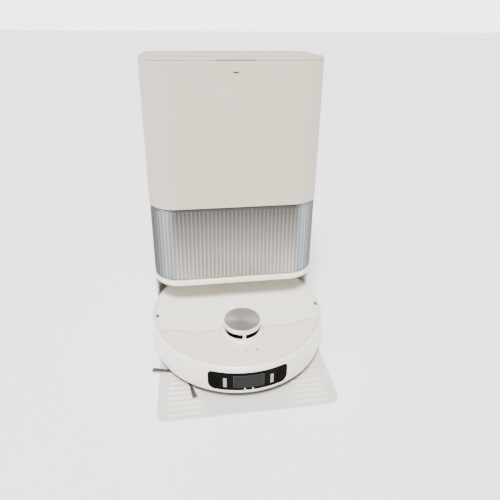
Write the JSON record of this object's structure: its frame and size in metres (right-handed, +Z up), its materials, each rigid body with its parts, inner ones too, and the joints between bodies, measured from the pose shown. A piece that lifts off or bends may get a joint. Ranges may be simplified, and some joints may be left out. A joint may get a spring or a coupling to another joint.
{
  "type": "robot vacuum",
  "caption": "White robot vacuum and mop docked in a tall self-emptying base station with lift lid, ribbed silver dust cover, water tanks and entry ramp.",
  "frame": {"origin": "floor level, centre of the whole object's footprint with the robot docked", "axes": "+Z up, -Y the front where the robot drives out, +X the viewer's right when facing the front"},
  "size_m": [0.35, 0.423, 0.568],
  "materials": {
    "white_plastic": "satin moulded",
    "silver_panel": "metallic satin",
    "brushed_metal": "radially brushed",
    "black_window": "gloss",
    "lens_panel": "gloss",
    "light_diffuser": "frosted",
    "dark_plastic": "matt",
    "grey_plastic": "matt",
    "rubber": "matt",
    "steel": "polished",
    "contact_metal": "plated",
    "tank_plastic": "clear tint",
    "bag_paper": "soft fibre",
    "card": "plain",
    "circuit_board": "lacquered",
    "mop_fabric": "looped pile",
    "filter_paper": "pleated"
  },
  "bodies": {
    "station": {"base_plate": "white_plastic", "ramp_plate": "white_plastic", "washboard": "grey_plastic", "tower_shell": "white_plastic", "garage_roof": "white_plastic", "dock_panel": "grey_plastic", "lid_hinge_rod": "steel", "tank_shelf": "grey_plastic", "clean_tank": "tank_plastic", "clean_tank_cap": "grey_plastic", "dirty_tank": "tank_plastic", "dirty_tank_cap": "grey_plastic", "dust_bag": "bag_paper", "bag_collar": "card", "dust_duct": "dark_plastic", "suction_motor": "dark_plastic", "station_board": "circuit_board", "power_inlet": "dark_plastic", "status_light": "light_diffuser"},
    "lid": {"station_lid": "white_plastic"},
    "dust_cover": {"dust_door": "silver_panel"},
    "clean_handle": {"clean_tank_handle": "dark_plastic"},
    "dirty_handle": {"dirty_tank_handle": "dark_plastic"},
    "contact_left": {"dock_contact_left": "contact_metal"},
    "contact_right": {"dock_contact_right": "contact_metal"},
    "robot": {"side_shell": "white_plastic", "chassis": "dark_plastic", "top_deck": "white_plastic", "turret_base": "white_plastic", "dust_box": "grey_plastic", "dust_filter": "filter_paper", "battery": "dark_plastic", "robot_board": "circuit_board", "robot_fan": "grey_plastic", "brush_cover": "grey_plastic"},
    "top_cover": {"rear_cover": "white_plastic"},
    "front_bumper": {"bumper": "white_plastic", "sensor_window": "black_window", "camera_panel": "lens_panel", "light_left": "light_diffuser", "light_right": "light_diffuser"},
    "key_home": {"button_home": "white_plastic"},
    "key_power": {"button_power": "white_plastic"},
    "key_spot": {"button_spot": "white_plastic"},
    "sensor_cap": {"turret_cap": "white_plastic", "turret_disc": "brushed_metal"},
    "sensor_head": {"lds_head": "dark_plastic"},
    "roller": {"main_brush": "rubber"},
    "edge_brush": {"side_brush": "dark_plastic"},
    "arm_left": {"wheel_arm_left": "grey_plastic"},
    "arm_right": {"wheel_arm_right": "grey_plastic"},
    "drive_left": {"wheel_left": "rubber"},
    "drive_right": {"wheel_right": "rubber"},
    "caster": {"caster_fork": "grey_plastic"},
    "caster_roller": {"caster_wheel": "rubber"},
    "mop_unit": {"mop_drive": "grey_plastic"},
    "mop_left": {"mop_plate_left": "grey_plastic", "mop_pad_left": "mop_fabric"},
    "mop_right": {"mop_plate_right": "grey_plastic", "mop_pad_right": "mop_fabric"}
  },
  "joints": [
    {"name": "lid_hinge", "type": "hinge", "parent": "station", "child": "lid", "pos_m": [0, 0.2065, 0.563], "axis": [-1, 0, 0], "range_deg": [0, 80]},
    {"name": "dust_cover_pull", "type": "slide", "parent": "station", "child": "dust_cover", "axis": [0, -1, 0], "range_m": [0, 0.2]},
    {"name": "clean_handle_swing", "type": "hinge", "parent": "station", "child": "clean_handle", "pos_m": [-0.0835, 0.085, 0.516], "axis": [1, 0, 0], "range_deg": [0, 90]},
    {"name": "dirty_handle_swing", "type": "hinge", "parent": "station", "child": "dirty_handle", "pos_m": [0.0835, 0.085, 0.516], "axis": [1, 0, 0], "range_deg": [0, 90]},
    {"name": "contact_left_press", "type": "slide", "parent": "station", "child": "contact_left", "axis": [0, 1, 0], "range_m": [0, 0.0025], "stiffness_N_per_m": 600, "springref_m": -0.001},
    {"name": "contact_right_press", "type": "slide", "parent": "station", "child": "contact_right", "axis": [0, 1, 0], "range_m": [0, 0.0025], "stiffness_N_per_m": 600, "springref_m": -0.001},
    {"name": "robot_drive", "type": "slide", "parent": "station", "child": "robot", "axis": [0, -1, 0], "range_m": [0, 0.4]},
    {"name": "top_cover_hinge", "type": "hinge", "parent": "robot", "child": "top_cover", "pos_m": [0, 0.1545, 0.0725], "axis": [-1, 0, 0], "range_deg": [0, 12]},
    {"name": "bumper_press", "type": "slide", "parent": "robot", "child": "front_bumper", "axis": [0, 1, 0], "range_m": [0, 0.0018], "stiffness_N_per_m": 600, "springref_m": -0.002},
    {"name": "key_home_press", "type": "slide", "parent": "robot", "child": "key_home", "axis": [0, 0, -1], "range_m": [0, 0.0008], "stiffness_N_per_m": 900, "springref_m": -0.0008},
    {"name": "key_power_press", "type": "slide", "parent": "robot", "child": "key_power", "axis": [0, 0, -1], "range_m": [0, 0.0008], "stiffness_N_per_m": 900, "springref_m": -0.0008},
    {"name": "key_spot_press", "type": "slide", "parent": "robot", "child": "key_spot", "axis": [0, 0, -1], "range_m": [0, 0.0008], "stiffness_N_per_m": 900, "springref_m": -0.0008},
    {"name": "sensor_cap_press", "type": "slide", "parent": "robot", "child": "sensor_cap", "axis": [0, 0, -1], "range_m": [0, 0.001], "stiffness_N_per_m": 1500, "springref_m": -0.001},
    {"name": "sensor_head_spin", "type": "hinge", "parent": "robot", "child": "sensor_head", "pos_m": [0, -0.087, 0.0785], "axis": [0, 0, 1], "continuous": true},
    {"name": "roller_spin", "type": "hinge", "parent": "robot", "child": "roller", "pos_m": [0, -0.0215, 0.023], "axis": [1, 0, 0], "continuous": true},
    {"name": "edge_brush_spin", "type": "hinge", "parent": "robot", "child": "edge_brush", "pos_m": [-0.112, -0.1115, 0.0135], "axis": [0, 0, 1], "continuous": true},
    {"name": "arm_left_swing", "type": "hinge", "parent": "robot", "child": "arm_left", "pos_m": [-0.095, -0.0635, 0.0435], "axis": [1, 0, 0], "range_deg": [0, 6], "stiffness_Nm_per_rad": 4, "springref_deg": -8.59},
    {"name": "arm_right_swing", "type": "hinge", "parent": "robot", "child": "arm_right", "pos_m": [0.095, -0.0635, 0.0435], "axis": [1, 0, 0], "range_deg": [0, 6], "stiffness_Nm_per_rad": 4, "springref_deg": -8.59},
    {"name": "drive_left_roll", "type": "hinge", "parent": "arm_left", "child": "drive_left", "pos_m": [-0.115, -0.0175, 0.0318], "axis": [1, 0, 0], "continuous": true},
    {"name": "drive_right_roll", "type": "hinge", "parent": "arm_right", "child": "drive_right", "pos_m": [0.115, -0.0175, 0.0318], "axis": [1, 0, 0], "continuous": true},
    {"name": "caster_swivel", "type": "hinge", "parent": "robot", "child": "caster", "pos_m": [0, -0.1275, 0.0365], "axis": [0, 0, 1], "continuous": true},
    {"name": "caster_roll", "type": "hinge", "parent": "caster", "child": "caster_roller", "pos_m": [0, -0.1195, 0.0178], "axis": [1, 0, 0], "continuous": true},
    {"name": "mop_lift", "type": "slide", "parent": "robot", "child": "mop_unit", "axis": [0, 0, 1], "range_m": [0, 0.007]},
    {"name": "mop_left_spin", "type": "hinge", "parent": "mop_unit", "child": "mop_left", "pos_m": [-0.066, 0.0805, 0.0135], "axis": [0, 0, 1], "continuous": true},
    {"name": "mop_right_spin", "type": "hinge", "parent": "mop_unit", "child": "mop_right", "pos_m": [0.066, 0.0805, 0.0135], "axis": [0, 0, 1], "continuous": true}
  ],
  "couplings": [
    {"joint": "mop_right_spin", "follows": "mop_left_spin", "ratio": -1}
  ]
}
